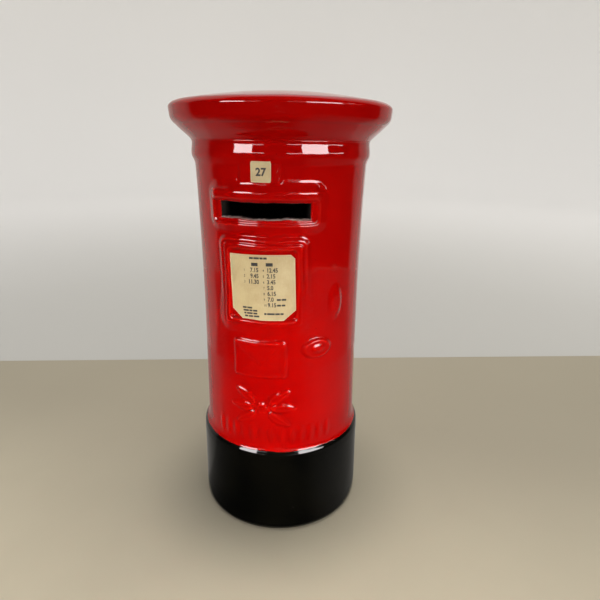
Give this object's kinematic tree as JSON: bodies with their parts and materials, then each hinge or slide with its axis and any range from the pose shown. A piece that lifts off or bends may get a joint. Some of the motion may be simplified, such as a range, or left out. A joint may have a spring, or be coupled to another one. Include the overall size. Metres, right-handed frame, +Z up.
{
  "type": "pillar box money box",
  "caption": "Glazed pottery money box in the shape of a round pillar post box, with a coin slot in front and a soft stopper under its base.",
  "frame": {"origin": "centre of the plane that the foot ring rests on, on the money box's own axis", "axes": "+Z up the money box's axis, -Y out of its front, through the middle of the timetable frame, +X to the right as seen from the front"},
  "size_m": [0.0872, 0.0872, 0.1802],
  "materials": {
    "red_glaze": "high gloss red glaze over white earthenware",
    "black_glaze": "high gloss black glaze",
    "sticker_paper": "matt cream paper, printed",
    "stopper_rubber": "soft matt rubber"
  },
  "bodies": {
    "pottery": {"cap": "red_glaze", "neck_ring": "red_glaze", "barrel": "red_glaze", "plinth_ledge": "black_glaze", "plinth": "black_glaze", "base_floor": "black_glaze", "slot_hood": "red_glaze", "number_tablet": "red_glaze", "timetable_frame": "red_glaze", "lock_boss": "red_glaze", "door_boss": "red_glaze", "emblem": "red_glaze", "leaf_ornament": "red_glaze", "flute_band": "red_glaze", "number_label": "sticker_paper", "timetable_label": "sticker_paper"},
    "plug": {"stopper": "stopper_rubber"}
  },
  "joints": [
    {"name": "stopper_pull", "type": "slide", "parent": "pottery", "child": "plug", "axis": [0, 0, -1], "range_m": [0, 0.03]}
  ]
}
